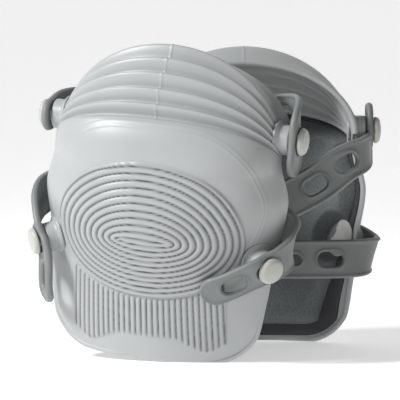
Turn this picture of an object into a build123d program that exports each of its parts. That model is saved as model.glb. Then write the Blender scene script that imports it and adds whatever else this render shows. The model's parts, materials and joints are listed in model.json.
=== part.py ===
from build123d import *
from math import asin, ceil, cos, pi, radians, sin, sqrt
import os

# Pair of rubber knee pads with padded cups, flexing knee hoods and button-on rubber straps.
# Each pad is drawn in its own frame: X across the leg, the kneecap towards -Y, Z up the leg,
# with the origin in the middle of the axis that the pleated hood folds about.
# All sizes are in millimetres and all angles in degrees.

# Shell of one pad
pad_bottom = -140.5         # lowest edge of the shin tongue, below the fold axis
shell_wall = 3.4
liner_wall = 1.8
layer_gap = 0.05            # between the layers of the cup
cushion_thick = 15.0
half_width_fold = 84.0      # half width at the fold axis
half_width_widest = 92.0    # half width beside the kneecap
half_width_bottom = 80.0    # half width of the shin tongue
half_width_dome = half_width_fold + 2.0
dome_roundness = 2.3        # 2 is an ellipse across, more is squarer
depth_fold = 55.5           # kneecap face, forward of the fold axis
depth_kneecap = 63.5
depth_shin = 61.5
depth_bottom = 59.0
tongue_corner = 33.0
liner_recess = 4.0          # the liner stops this far inside the shell's rim
cushion_recess = 11.0
cushion_toe = 6.0           # the cushion stops this far short of the liner at the tongue
rim_overrun = 6.0           # the hollow's cutter runs this far past the rim
window_margin = 2.0         # the cushion's windows are wider than the plates by this all round
window_overrun = 8.0        # a window's cutter runs this far out past a plate
dome_angle = 42.0           # the dome ends and the pleats start here, above the fold axis
dome_steps = 4
dome_swell = 0.7
side_radius = 8.0           # the pleats meet at the sides on this radius
level_steps = 3             # sections between two of the levels below
cutter_reach = 40.0         # long enough to pass through a wall from inside
block_reach = 160.0         # larger than a pad

# Pleated bellows
pleat_count = 5
pleat_top = 82.5            # height of the last pleat over the fold axis
pleat_depth = 4.2
pleat_wall = 2.4
pleat_first = 59.6          # radius of the first pleat's crest
pleat_curve = 1.15          # the crests rise a little late
pleat_cutter_overrun = 5.0
last_roundness = 2.0        # roundness across at the last pleat and the cuff

# Hood cuff
cuff_length = 18.0
cuff_drop = 12.0
cuff_wall = 3.0
cuff_bead = 2.4
cuff_foot = 4.0             # lower ends of the cuff, above the fold axis
cuff_flare = 0.6            # the cuff is this much wider than the fold on each side
cuff_bead_rise = 0.8
flex_gap = 0.5
flex_forward = 14.0         # the hood folds this far towards the kneecap

# Button studs and the bosses under them
boss_dia = 22.0
boss_length = 9.0
neck_dia = 9.5
head_dia = 20.0
head_thick = 5.6
head_rounding = 0.7         # share of the head's thickness that its edge is rounded over
head_gap = 6.4              # free length of neck for the strap
lower_backing_dia = 29.0
upper_backing_dia = 20.0
backing_thick = 1.6
backing_bed = 2.2           # a lower plate stands this far off the wall's inner face
bore_fit = 0.05             # radial running fit of a neck in its bore
boss_foot_rim = 1.0         # flat foot round an upper boss
notch_margin = 4.0
upper_stud_inset = 1.6      # outer face under an upper boss, inside the fold's half width
upper_stud_height = 19.0
lower_stud_height = -63.0
lower_stud_share = 0.9       # share of the half width where a lower stud stands
lower_stud_turn = 38.0      # the lower studs point this far forward of sideways
lower_stud_dip = 9.0        # and this far down
clearance = 0.4

# Straps
strap_thick = 3.0
strap_end_width = 24.0
strap_width = 29.0
slot_length = 19.0
slot_width = 11.0
slot_rim = 3.0
slot_rim_rise = 0.7
tail_slot = 28.0            # from a stud out to the next slot in the strap's tail
upper_free_slots = (48.0, 77.0)
lower_free_slots = (72.0,)
upper_long_slot = 46.0
lower_long_slot = 86.0
slot_cut = 6.0              # a slot's cutter reaches this far to both sides
taper_share = 0.3           # share of its length over which a strap widens
tip_places = (0.0, 0.8, 2.0, 4.2, 7.5)
strap_step = 9.0
tip_flat = 3.0
flat_reach = 11.0           # a strap lies flat this far to both sides of a stud
long_slot_width = 7.5

# How the pair stands
pad_gap = 80.0              # from one fold axis to the other, front to back
pad_offset = 52.7           # and sideways
front_turn = -20.0
front_tip = 14.7
front_roll = 5.5            # the front pad leans over to its right
rear_turn = 180.0
rear_tip = 4.3
rear_roll = 0.0

# Each level of the shell: height, half width, rear edge, kneecap face, roundness across
LEVELS = [
    (pad_bottom, half_width_bottom, 34.0, depth_bottom, 2.0, 1.0),
    (-113.0, half_width_bottom + 1.0, 33.0, depth_shin - 0.8, 2.05, 1.15),
    (-90.0, half_width_bottom + 4.0, 28.0, depth_shin + 0.5, 2.1, 1.25),
    (-58.0, half_width_widest - 4.5, 19.0, depth_kneecap, 2.15, 1.5),
    (-25.0, half_width_widest, 10.0, depth_kneecap - 2.0, dome_roundness, 2.1),
    (0.0, half_width_dome, side_radius, depth_fold, dome_roundness, dome_roundness),
]


def fan_plane(angle):
    """Plane through the fold axis, turned up from straight ahead; its Y runs outwards."""
    out = Vector(0, -cos(radians(angle)), sin(radians(angle)))
    return Plane(origin=(0, 0, 0), x_dir=(1, 0, 0), z_dir=Vector(1, 0, 0).cross(out))


def level_plane(height):
    """Level plane whose Y runs forwards, like a fan plane at no angle."""
    return Plane(origin=(0, 0, height), x_dir=(1, 0, 0), z_dir=(0, 0, -1))


def arch_points(half_width, rear, crown, power, root, start=0.0, count=15):
    """Points across a crowned section, from one side over the crown to the other."""
    rise = crown - rear
    first = asin((start / rise) ** (root / 2)) if start > 0 else 0.0
    points = []
    for i in range(count):
        angle = first + (pi - 2 * first) * i / (count - 1)
        across = cos(angle)
        side = 1 if across >= 0 else -1
        x = half_width * side * abs(across) ** (2 / power)
        y = rear + rise * max(sin(angle), 0.0) ** (2 / root)
        points.append((x, y))
    return points


def between(before, start, end, after, share):
    """Smooth value between start and end, guided by the values before and after them."""
    lead = (end - before) / 2
    trail = (after - start) / 2
    square = share * share
    cube = square * share
    value = (2 * cube - 3 * square + 1) * start + (cube - 2 * square + share) * lead
    return value + (3 * square - 2 * cube) * end + (cube - square) * trail


def smooth_rows(rows, steps):
    """Rows of values with more rows smoothly filled in between them."""
    filled = []
    for i in range(len(rows) - 1):
        group = [rows[max(i - 1, 0)], rows[i], rows[i + 1], rows[min(i + 2, len(rows) - 1)]]
        for step in range(steps):
            share = step / steps
            filled.append(tuple(between(*column, share) for column in zip(*group)))
    filled.append(tuple(rows[-1]))
    return filled


def shell_sections():
    """The shell's planes from the tongue up to the end of the dome, with their shapes."""
    sections = []
    for height, half_width, rear, crown, power, root in smooth_rows(LEVELS, level_steps):
        sections.append((level_plane(height), half_width, rear, crown, power, root))
    for i in range(dome_steps):
        angle = dome_angle * (i + 1) / dome_steps
        crown = depth_fold + dome_swell * sin(pi * (i + 1) / dome_steps)
        shape = (half_width_dome, side_radius, crown, dome_roundness, dome_roundness)
        sections.append((fan_plane(angle), *shape))
    return sections


def cup_solid(inset, recess=0.0, open_back=0.0):
    """Solid that fills the shell, inset all round; it stops short of or runs past the rim."""
    with BuildPart() as solid:
        for plane, half_width, rear, crown, power, root in shell_sections():
            points = arch_points(half_width - inset, rear, crown - inset, power, root, recess)
            with BuildSketch(plane):
                with BuildLine():
                    arch = Spline(*points)
                    if open_back > 0:
                        back = rear - open_back
                        Polyline(arch @ 1, (points[-1][0], back), (points[0][0], back), arch @ 0)
                    else:
                        Line(arch @ 1, arch @ 0)
                make_face()
        loft(ruled=True)
    return solid.part


def tongue_block(inset):
    """Block with the rounded outline of the shin tongue, used to trim a cup."""
    low = pad_bottom + inset
    below = low - 5.0
    with BuildPart() as block:
        with BuildSketch(Plane.XZ.offset(-block_reach / 2)):
            with Locations((0, low + block_reach)):
                Rectangle(2 * block_reach, 2 * block_reach)
            for side in (-1, 1):
                edge = side * (half_width_bottom - inset)
                centre = (edge - side * tongue_corner, low + tongue_corner)
                far = side * (block_reach + 1.0)
                with BuildLine():
                    start = Line((far, below), (centre[0], below))
                    foot = Line(start @ 1, (centre[0], low))
                    corner = TangentArc(foot @ 1, (edge, centre[1]), tangent=(side, 0))
                    out = Line(corner @ 1, (far, centre[1]))
                    Line(out @ 1, start @ 0)
                make_face(mode=Mode.SUBTRACT)
        extrude(amount=block_reach)
    return block.part


def wall_point(height, share):
    """Point on the outer face of the shell at a height, at a share of its half width."""
    rows = smooth_rows(LEVELS, level_steps)
    i = max(j for j in range(len(rows) - 1) if rows[j][0] <= height)
    part = (height - rows[i][0]) / (rows[i + 1][0] - rows[i][0])
    row = [a * (1 - part) + b * part for a, b in zip(rows[i], rows[i + 1])]
    rise = row[3] - row[2]
    forward = row[2] + rise * (1 - share ** row[4]) ** (1 / row[5])
    return row[1] * share, forward


def stud_wall(level):
    """Wall between a stud's backing plate and the foot of its boss."""
    return cuff_wall if level == "upper" else shell_wall + backing_bed


def stud_plane(level, side):
    """Plane at the root of a stud, on its backing plate; Z points out along the stud."""
    if level == "upper":
        root = side * (half_width_fold - upper_stud_inset - cuff_wall)
        return Plane(origin=(root, 0, upper_stud_height), x_dir=(0, 1, 0), z_dir=(side, 0, 0))
    turn = radians(lower_stud_turn)
    dip = radians(lower_stud_dip)
    out = Vector(side * cos(turn) * cos(dip), -sin(turn) * cos(dip), -sin(dip))
    across, forward = wall_point(lower_stud_height, lower_stud_share)
    foot = Vector(side * across, -forward, lower_stud_height)
    x_dir = Vector(0, 0, 1).cross(out)
    return Plane(origin=foot - out * stud_wall(level), x_dir=x_dir, z_dir=out)


def stud_face(level):
    """Distance from a stud's root to the outer face of its boss."""
    return stud_wall(level) + boss_length


def backing_radius(level):
    """Radius of the backing plate behind a stud."""
    return (upper_backing_dia if level == "upper" else lower_backing_dia) / 2


def boss_cylinder(level, side):
    """Boss that stands on the wall under a stud."""
    with BuildPart() as boss:
        with BuildSketch(stud_plane(level, side)):
            Circle(boss_dia / 2)
        extrude(amount=stud_face(level))
    return boss.part


def bore_cylinder(level, side):
    """Bore through a boss and its wall for the neck of a stud."""
    with BuildPart() as bore:
        with BuildSketch(stud_plane(level, side).offset(-cutter_reach)):
            Circle(neck_dia / 2 + bore_fit)
        extrude(amount=cutter_reach + stud_face(level) + 1.0)
    return bore.part


def window_cylinder(level, side, radius, outward=0.0):
    """Round window behind a stud; it can run a little way outward of the stud's root."""
    with BuildPart() as window:
        with BuildSketch(stud_plane(level, side).offset(-cutter_reach)):
            Circle(radius)
        extrude(amount=cutter_reach + outward)
    return window.part


def on_both_sides(maker, *values):
    """What a maker gives for the left side of a pad and for the right."""
    return [maker(values[0], side, *values[1:]) for side in (-1, 1)]


def hood_notch():
    """Room in the sides of the cup for the foot of the hood to swing forwards."""
    reach = upper_stud_height + boss_dia / 2 + notch_margin
    low = radians(dome_angle - flex_forward - notch_margin)
    high = radians(88.0)
    far = reach * 1.5
    first = (-far * cos(low), far * sin(low))
    last = (-far * cos(high), far * sin(high))
    with BuildPart() as notch:
        for side in (-1, 1):
            with BuildSketch(Plane.YZ.offset(side * (half_width_fold - 10.0))):
                with BuildLine():
                    Polyline((0.0, 0.0), first, last, (0.0, 0.0))
                make_face()
                Circle(reach, mode=Mode.INTERSECT)
            extrude(amount=side * 20.0)
    return notch.part


def make_shell():
    """Dome and shin in one, with the lower bosses and their bores."""
    outside = cup_solid(0.0)
    hollow = cup_solid(shell_wall, open_back=rim_overrun)
    bosses = on_both_sides(boss_cylinder, "lower")
    bores = on_both_sides(bore_cylinder, "lower")
    windows = on_both_sides(window_cylinder, "lower", backing_radius("lower") + clearance)
    outline = tongue_block(0.0)
    notch = hood_notch()
    with BuildPart() as shell:
        add(outside)
        add(bosses)
        add(hollow, mode=Mode.SUBTRACT)
        add(outline, mode=Mode.INTERSECT)
        add(bores, mode=Mode.SUBTRACT)
        add(windows, mode=Mode.SUBTRACT)
        add(notch, mode=Mode.SUBTRACT)
    return shell.part


def make_liner():
    """Thin dark skin between the shell and the cushion."""
    inset = shell_wall + layer_gap
    outside = cup_solid(inset, recess=liner_recess)
    hollow = cup_solid(inset + liner_wall, open_back=rim_overrun)
    radius = backing_radius("lower") + clearance
    windows = on_both_sides(window_cylinder, "lower", radius, window_overrun)
    outline = tongue_block(inset)
    notch = hood_notch()
    with BuildPart() as liner:
        add(outside)
        add(hollow, mode=Mode.SUBTRACT)
        add(outline, mode=Mode.INTERSECT)
        add(windows, mode=Mode.SUBTRACT)
        add(notch, mode=Mode.SUBTRACT)
    return liner.part


def make_cushion():
    """Thick foam pad that fills the front of the cup."""
    inset = shell_wall + liner_wall + 2 * layer_gap
    outside = cup_solid(inset, recess=cushion_recess)
    hollow = cup_solid(inset + cushion_thick, open_back=3 * rim_overrun)
    radius = backing_radius("lower") + window_margin
    windows = on_both_sides(window_cylinder, "lower", radius, window_overrun)
    outline = tongue_block(inset + cushion_toe)
    with BuildPart() as cushion:
        add(outside)
        add(hollow, mode=Mode.SUBTRACT)
        add(outline, mode=Mode.INTERSECT)
        add(windows, mode=Mode.SUBTRACT)
    return cushion.part


def pleat_sections():
    """Fan angles and crown radii of the folds, valley and crest in turn."""
    sections = [(dome_angle + flex_gap, depth_fold)]
    step = (90.0 - dome_angle - flex_gap) / pleat_count
    for i in range(pleat_count):
        share = i / (pleat_count - 1)
        crest = pleat_first + (pleat_top - pleat_first) * share ** pleat_curve
        valley = crest - pleat_depth - 1.0
        angle = dome_angle + flex_gap + step * (i + 1)
        sections.append((angle - step * 0.5, valley))
        sections.append((angle, crest))
    return sections


def fan_loft(sections, inset, open_back=0.0):
    """Straight folds from one fan section to the next."""
    rear = side_radius
    with BuildPart() as folds:
        for angle, crown in sections:
            share = (angle - dome_angle) / (90.0 - dome_angle)
            half_width = half_width_dome - (half_width_dome - half_width_fold) * share - inset
            power = dome_roundness - (dome_roundness - last_roundness) * share
            points = arch_points(half_width, rear, crown - inset, power, power)
            with BuildSketch(fan_plane(angle)):
                with BuildLine():
                    arch = Spline(*points)
                    back = rear - open_back
                    if open_back > 0:
                        Polyline(arch @ 1, (points[-1][0], back), (points[0][0], back), arch @ 0)
                    else:
                        Line(arch @ 1, arch @ 0)
                make_face()
        loft(ruled=True)
    return folds.part


def foot_clearance():
    """Room round the foot of the hood in the sides of the bellows."""
    radius = boss_dia / 2 + boss_foot_rim + clearance
    below = cuff_foot + 16.0
    with BuildPart() as room:
        for side in (-1, 1):
            with BuildSketch(Plane.YZ.offset(side * (half_width_fold - 16.0))):
                with Locations((0, upper_stud_height)):
                    Circle(radius)
                with Locations((0, (upper_stud_height - below) / 2)):
                    Rectangle(2 * radius, upper_stud_height + below)
            extrude(amount=side * cutter_reach)
    return room.part


def make_bellows():
    """Pleated part of the shell that lets the hood fold."""
    sections = pleat_sections()
    outside = fan_loft(sections, 0.0)
    hollow = fan_loft(sections, pleat_wall, open_back=pleat_cutter_overrun)
    room = foot_clearance()
    with BuildPart() as bellows:
        add(outside)
        add(hollow, mode=Mode.SUBTRACT)
        add(room, mode=Mode.SUBTRACT)
    return bellows.part


def arch_solid(front, back, outset):
    """Solid under an arch that runs back from one upright section to another."""
    with BuildPart() as arch:
        for y, top in (front, back):
            half_width = half_width_fold + cuff_flare + outset
            points = arch_points(half_width, 0.0, top + outset, last_roundness, last_roundness)
            with BuildSketch(Plane.XZ.offset(-y)):
                with BuildLine():
                    curve = Spline(*points)
                    Line(curve @ 1, curve @ 0)
                make_face()
        loft(ruled=True)
    return arch.part


def make_cuff():
    """Smooth band behind the last pleat, with its edge bead and the upper bosses."""
    last = flex_gap + cuff_length
    bead_start = last - cuff_bead
    front = (flex_gap, pleat_top)
    middle = (bead_start, pleat_top - cuff_drop * (cuff_length - cuff_bead) / cuff_length)
    back = (last, pleat_top - cuff_drop)
    band = arch_solid(front, back, 0.0)
    bead = arch_solid(middle, back, cuff_bead_rise)
    hollow = arch_solid(front, back, -cuff_wall)
    bosses = on_both_sides(boss_cylinder, "upper")
    bores = on_both_sides(bore_cylinder, "upper")
    windows = on_both_sides(window_cylinder, "upper", backing_radius("upper") + clearance)
    with BuildPart() as cuff:
        add(band)
        add(bead)
        add(hollow, mode=Mode.SUBTRACT)
        with BuildSketch(Plane.XY.offset(-1.0)):
            Rectangle(2 * block_reach, 2 * block_reach)
        extrude(amount=1.0 + cuff_foot, mode=Mode.SUBTRACT)
        for side in (-1, 1):
            with BuildSketch(stud_plane("upper", side)):
                Circle(boss_dia / 2 + boss_foot_rim)
            extrude(amount=cuff_wall)
        add(bosses)
        add(bores, mode=Mode.SUBTRACT)
        add(windows, mode=Mode.SUBTRACT)
    return cuff.part


def make_stud(level, side):
    """Button stud: domed head, neck through the boss, and a tail for its backing plate."""
    plane = stud_plane(level, side)
    face = stud_face(level)
    with BuildPart() as stud:
        with BuildSketch(plane.offset(-backing_thick)):
            Circle(neck_dia / 2)
        extrude(amount=backing_thick + face + head_gap + 1.0)
        with BuildSketch(plane.offset(face + head_gap)):
            Circle(head_dia / 2)
        extrude(amount=head_thick)
        rim = stud.edges().filter_by(GeomType.CIRCLE)
        top = rim.sort_by(SortBy.RADIUS)[-2:]
        outer = sorted(top, key=lambda e: (e.center() - plane.origin).length)[-1]
        fillet(outer, radius=head_thick * head_rounding)
    return stud.part


def make_backing(level, side):
    """Round plate that holds a stud from inside."""
    plane = stud_plane(level, side)
    with BuildPart() as plate:
        with BuildSketch(plane.offset(-backing_thick)):
            Circle(backing_radius(level))
            Circle(neck_dia / 2 + bore_fit, mode=Mode.SUBTRACT)
        extrude(amount=backing_thick)
    return plate.part


# Each strap's rest shape, from the tip on one side of the pad to the tip on the other:
# across, forward, up, and how far it has turned from the stud's face to straight back.
# A station of one value lies on a stud: how steeply the strap climbs from it to the rear.
FRONT_UPPER = [
    (94.0, 8.5, -6.0, 0.0),
    (75.0,),
    (90.0, -18.0, 33.0, 0.3),
    (78.0, -32.0, 29.0, 0.8),
    (48.0, -39.0, 21.0, 1.0),
    (0.0, -41.0, 17.0, 1.0),
    (-48.0, -40.0, 16.0, 1.0),
    (-80.0, -34.0, 17.0, 0.8),
    (-91.5, -20.0, 19.0, 0.25),
    (0.0,),
    (-94.0, 16.0, 19.0, 0.0),
]
FRONT_LOWER = [
    (43.0, 61.0, -83.0, -0.6),
    (58.0, 59.0, -79.0, -0.3),
    (22.0,),
    (98.0, 20.0, -57.0, 0.3),
    (90.0, 1.0, -49.0, 0.7),
    (60.0, -9.0, -42.0, 1.0),
    (0.0, -12.0, -38.0, 1.0),
    (-60.0, -9.0, -37.0, 1.0),
    (-90.0, 2.0, -38.0, 0.7),
    (-97.5, 20.0, -45.0, 0.3),
    (55.0,),
    (-80.0, 52.0, -97.0, 0.0),
    (-77.0, 52.0, -109.0, 0.0),
]
REAR_UPPER = [
    (94.0, 5.5, 39.5, 0.0),
    (-75.0,),
    (90.0, -17.0, 1.0, 0.4),
    (74.0, -30.0, -7.0, 0.9),
    (47.0, -33.0, -26.0, 1.0),
    (0.0, -34.0, -44.0, 1.0),
    (-47.0, -33.0, -26.0, 1.0),
    (-74.0, -30.0, -7.0, 0.9),
    (-90.0, -17.0, 1.0, 0.4),
    (-75.0,),
    (-94.0, 5.5, 39.5, 0.0),
]
REAR_LOWER = [
    (72.0, 62.0, -52.0, -0.2),
    (-14.0,),
    (98.0, 20.0, -74.0, 0.3),
    (88.0, 2.0, -77.0, 0.75),
    (60.0, -5.0, -78.0, 1.0),
    (0.0, -8.0, -78.0, 1.0),
    (-60.0, -5.0, -78.0, 1.0),
    (-88.0, 2.0, -77.0, 0.75),
    (-98.0, 20.0, -74.0, 0.3),
    (-14.0,),
    (-72.0, 62.0, -52.0, -0.2),
]


def stud_rows(level, side, climb):
    """Three stations where a strap lies flat on a stud, from its tail to its loop."""
    plane = stud_plane(level, side)
    face = plane.z_dir
    centre = plane.origin + face * (stud_face(level) + head_gap / 2)
    back = Vector(0, 1, 0)
    back = (back - face * back.dot(face)).normalized()
    up = Vector(0, 0, 1)
    up = (up - face * up.dot(face) - back * up.dot(back)).normalized()
    along = back * cos(radians(climb)) + up * sin(radians(climb))
    rows = []
    for step in (-1, 0, 1):
        point = centre + along * (step * flat_reach)
        rows.append((point.X, point.Y, point.Z, 0.0))
    return rows if side > 0 else rows[::-1]


def strap_frames(stations, level, steps=4):
    """Centres, directions and outward faces along a strap, with the place of each stud."""
    rows = []
    studs = []
    for station in stations:
        if len(station) == 1:
            side = 1 if not studs else -1
            studs.append((len(rows) + 1) * steps)
            rows += stud_rows(level, side, station[0])
        else:
            across, forward, up, turn = station
            rows.append((across, -forward, up, turn))
    points = smooth_rows(rows, steps)
    frames = []
    for i, (x, y, z, turn) in enumerate(points):
        ahead = Vector(*points[min(i + 1, len(points) - 1)][:3])
        behind = Vector(*points[max(i - 1, 0)][:3])
        along = (ahead - behind).normalized()
        side = 1 if i < len(points) / 2 else -1
        outward = stud_plane(level, side).z_dir
        facing = outward * (1.0 - turn) + Vector(0, 1, 0) * turn
        facing = (facing - along * facing.dot(along)).normalized()
        frames.append((Vector(x, y, z), along, facing))
    return frames, studs


class StrapPath:
    """Line along the middle of a strap, with its frame at any place from its first tip."""

    def __init__(self, stations, level):
        self.frames, studs = strap_frames(stations, level)
        self.places = [0.0]
        for before, after in zip(self.frames, self.frames[1:]):
            self.places.append(self.places[-1] + (after[0] - before[0]).length)
        self.length = self.places[-1]
        self.studs = [self.places[i] for i in studs]

    def plane(self, place):
        """Plane on the strap: X along it, Z out of its outer face."""
        i = max(j for j in range(len(self.places) - 1) if self.places[j] <= place)
        share = (place - self.places[i]) / (self.places[i + 1] - self.places[i])
        start = self.frames[i]
        end = self.frames[i + 1]
        centre = start[0] * (1 - share) + end[0] * share
        along = (start[1] * (1 - share) + end[1] * share).normalized()
        facing = start[2] * (1 - share) + end[2] * share
        facing = (facing - along * facing.dot(along)).normalized()
        return Plane(origin=centre, x_dir=along, z_dir=facing)

    def width(self, place):
        """Round tips, then a little wider towards the middle."""
        near = min(place, self.length - place)
        share = min(near / (self.length * taper_share), 1.0)
        full = strap_end_width + (strap_width - strap_end_width) * share * share * (3 - 2 * share)
        radius = strap_end_width / 2
        if near >= radius:
            return full
        return 2 * sqrt(max(radius ** 2 - (radius - near) ** 2, tip_flat ** 2))

    def cuts(self):
        """Places of the sections: close together at the tips, even between them."""
        radius = strap_end_width / 2
        tip = [*tip_places, radius]
        inner = self.length - 2 * radius
        count = ceil(inner / strap_step)
        middle = [radius + inner * i / count for i in range(1, count)]
        return tip + middle + [self.length - place for place in reversed(tip)]

    def slots(self, free_slots):
        """Buttonholes: one on each stud, one in each long tail, and the free ones between."""
        first, last = self.studs
        places = [first, last]
        for free in free_slots:
            places += [first + free, last - free]
        if first > tail_slot + slot_length:
            places.append(first - tail_slot)
        if self.length - last > tail_slot + slot_length:
            places.append(last + tail_slot)
        return places


def make_strap(stations, level, free_slots, long_slot):
    """Moulded rubber strap with round tips, buttonhole slots and a long slot in its middle."""
    path = StrapPath(stations, level)
    slots = path.slots(free_slots)
    with BuildPart() as strap:
        for place in path.cuts():
            here = path.plane(place)
            with BuildSketch(Plane(origin=here.origin, x_dir=here.z_dir, z_dir=here.x_dir)):
                Rectangle(strap_thick, path.width(place))
        loft(ruled=True)
        for place in slots:
            with BuildSketch(path.plane(place).offset(-strap_thick / 2 - slot_rim_rise)):
                SlotOverall(slot_length + 2 * slot_rim, slot_width + 2 * slot_rim)
            extrude(amount=strap_thick + 2 * slot_rim_rise)
        for place in slots:
            with BuildSketch(path.plane(place).offset(-slot_cut)):
                SlotOverall(slot_length, slot_width)
            extrude(amount=2 * slot_cut, mode=Mode.SUBTRACT)
        with BuildSketch(path.plane(path.length / 2).offset(-slot_cut)):
            SlotOverall(long_slot, long_slot_width)
        extrude(amount=2 * slot_cut, mode=Mode.SUBTRACT)
    return strap.part


def both_sides(maker, level):
    """One piece for the left side of a pad and one for the right, as one compound."""
    return Compound([maker(level, 1), maker(level, -1)])


def make_pad():
    """Pieces that are alike on both pads."""
    return {
        "shell": make_shell(),
        "liner": make_liner(),
        "cushion": make_cushion(),
        "bellows": make_bellows(),
        "cuff": make_cuff(),
        "upper_studs": both_sides(make_stud, "upper"),
        "upper_backings": both_sides(make_backing, "upper"),
        "lower_studs": both_sides(make_stud, "lower"),
        "lower_backings": both_sides(make_backing, "lower"),
    }


def standing(shell, turn, tip, roll, x, y):
    """Place of a pad that leans, tips on its tongue, is turned, and stands on the ground."""
    lean = Location((0, 0, 0), (1, 0, 0), tip) * Location((0, 0, 0), (0, 1, 0), roll)
    tilt = Location((0, 0, 0), (0, 0, 1), turn) * lean
    lowest = shell.moved(tilt).bounding_box().min.Z
    return Location((x, y, -lowest)) * tilt


def make_pair():
    """Every piece of both pads in its place, centred over the origin."""
    alike = make_pad()
    front = dict(alike)
    front["upper_strap"] = make_strap(FRONT_UPPER, "upper", upper_free_slots, upper_long_slot)
    front["lower_strap"] = make_strap(FRONT_LOWER, "lower", lower_free_slots, lower_long_slot)
    rear = dict(alike)
    rear["upper_strap"] = make_strap(REAR_UPPER, "upper", upper_free_slots, upper_long_slot)
    rear["lower_strap"] = make_strap(REAR_LOWER, "lower", lower_free_slots, lower_long_slot)
    places = {
        "front": standing(alike["shell"], front_turn, front_tip, front_roll, 0.0, 0.0),
        "rear": standing(
            alike["shell"], rear_turn, rear_tip, rear_roll, pad_offset, pad_gap
        ),
    }
    pieces = {}
    for pad, parts in (("front", front), ("rear", rear)):
        for name, piece in parts.items():
            pieces[pad + "_" + name] = piece.moved(places[pad])
    box = Compound(list(pieces.values())).bounding_box()
    shift = Location((-box.center().X, -box.center().Y, -box.min.Z))
    places = {pad: shift * place for pad, place in places.items()}
    return {name: piece.moved(shift) for name, piece in pieces.items()}, places


if __name__ == "__main__":
    os.makedirs("parts", exist_ok=True)
    pair, standing_places = make_pair()
    for piece_name, piece in pair.items():
        piece.label = piece_name
        export_step(piece, "parts/" + piece_name + ".step")
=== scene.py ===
# %% [markdown]
# # A pair of rubber knee pads
# Two moulded pads stand with their open sides facing each other. Each one is a light grey rubber
# shell with a spiral of ribs on the kneecap, upright ribs on the shin, and a pleated hood that
# folds. Inside are a dark liner and a thick foam cushion. Straps button onto mushroom studs.
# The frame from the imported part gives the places; everything here is drawn around it.

import json
import math

import bpy
import numpy as np
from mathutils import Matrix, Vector
from mathutils.geometry import delaunay_2d_cdt


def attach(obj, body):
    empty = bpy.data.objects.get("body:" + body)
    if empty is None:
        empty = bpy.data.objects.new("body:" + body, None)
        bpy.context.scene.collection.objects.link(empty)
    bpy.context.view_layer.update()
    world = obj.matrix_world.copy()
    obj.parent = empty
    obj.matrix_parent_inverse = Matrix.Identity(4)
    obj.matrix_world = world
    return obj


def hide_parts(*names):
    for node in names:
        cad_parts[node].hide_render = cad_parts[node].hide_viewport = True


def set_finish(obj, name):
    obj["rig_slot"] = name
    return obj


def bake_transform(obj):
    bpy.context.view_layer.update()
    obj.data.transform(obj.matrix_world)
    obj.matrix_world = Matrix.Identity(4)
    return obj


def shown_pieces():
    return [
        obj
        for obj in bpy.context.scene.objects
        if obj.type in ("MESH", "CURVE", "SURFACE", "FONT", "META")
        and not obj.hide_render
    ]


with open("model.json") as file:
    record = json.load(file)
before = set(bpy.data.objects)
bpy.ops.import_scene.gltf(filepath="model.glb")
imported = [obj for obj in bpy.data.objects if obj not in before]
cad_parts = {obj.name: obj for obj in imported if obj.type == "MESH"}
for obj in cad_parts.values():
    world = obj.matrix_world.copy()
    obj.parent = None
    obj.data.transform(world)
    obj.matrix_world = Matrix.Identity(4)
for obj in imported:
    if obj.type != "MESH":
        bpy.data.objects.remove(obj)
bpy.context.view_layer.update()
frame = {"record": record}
record = frame["record"]
joints = {joint["name"]: joint for joint in record["behaviour"]["joints"]}

# %% [markdown]
# ## Where each pad stands
# A pad is drawn upright in its own frame, in metres: X across the leg, the kneecap towards -Y
# and Z up, with the origin in the middle of the axis that the hood folds about. The record's
# hinge gives that axis, and the upper strap's hinge lies straight up from it.

# %% Frames of the two pads
MM = 0.001


def pad_matrix(pad):
    """Columns: the pad's X, Y and Z directions, then its origin, in the row's frame."""
    hinge = joints[pad + "_hood_fold"]
    origin = np.array(hinge["pos_m"], float)
    across = np.array(hinge["axis"], float)
    rise = np.array(joints[pad + "_upper_strap_swing"]["pos_m"], float) - origin
    rise = rise - across * (rise @ across)
    rise = rise / np.linalg.norm(rise)
    return np.column_stack((across, np.cross(rise, across), rise)), origin


PADS = {pad: pad_matrix(pad) for pad in ("front", "rear")}


def placed(pad, points):
    """Points of a pad's own frame, moved to where that pad stands."""
    turn, origin = PADS[pad]
    return points @ turn.T + origin


for pad, (turn, origin) in PADS.items():
    print(pad, "fold axis at", origin.round(3))

# %% [markdown]
# ## Small helpers for meshes
# Every surface is computed as whole arrays and handed over once. A grid is a table of points,
# rows by columns; a lathe turns a profile round an axis; a tube follows a line. A closed form
# finds out by its own volume whether its faces point outwards.

# %% Mesh helpers


def build_mesh(name, points, quads, tris, values=None):
    """Object made from points, four-sided and three-sided faces, and named point values."""
    mesh = bpy.data.meshes.new(name)
    loops = np.concatenate((quads.ravel(), tris.ravel())).astype(np.int32)
    total = np.concatenate((np.full(len(quads), 4), np.full(len(tris), 3))).astype(np.int32)
    start = np.concatenate(((0,), np.cumsum(total)[:-1])).astype(np.int32)
    mesh.vertices.add(len(points))
    mesh.vertices.foreach_set("co", np.asarray(points, np.float32).ravel())
    mesh.loops.add(len(loops))
    mesh.loops.foreach_set("vertex_index", loops)
    mesh.polygons.add(len(total))
    mesh.polygons.foreach_set("loop_start", start)
    mesh.polygons.foreach_set("loop_total", total)
    mesh.polygons.foreach_set("use_smooth", np.full(len(total), True))
    for key, value in (values or {}).items():
        layer = mesh.attributes.new(key, "FLOAT", "POINT")
        layer.data.foreach_set("value", np.asarray(value, np.float32).ravel())
    mesh.update(calc_edges=True)
    mesh.validate()
    obj = bpy.data.objects.new(name, mesh)
    bpy.context.scene.collection.objects.link(obj)
    return obj


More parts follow.
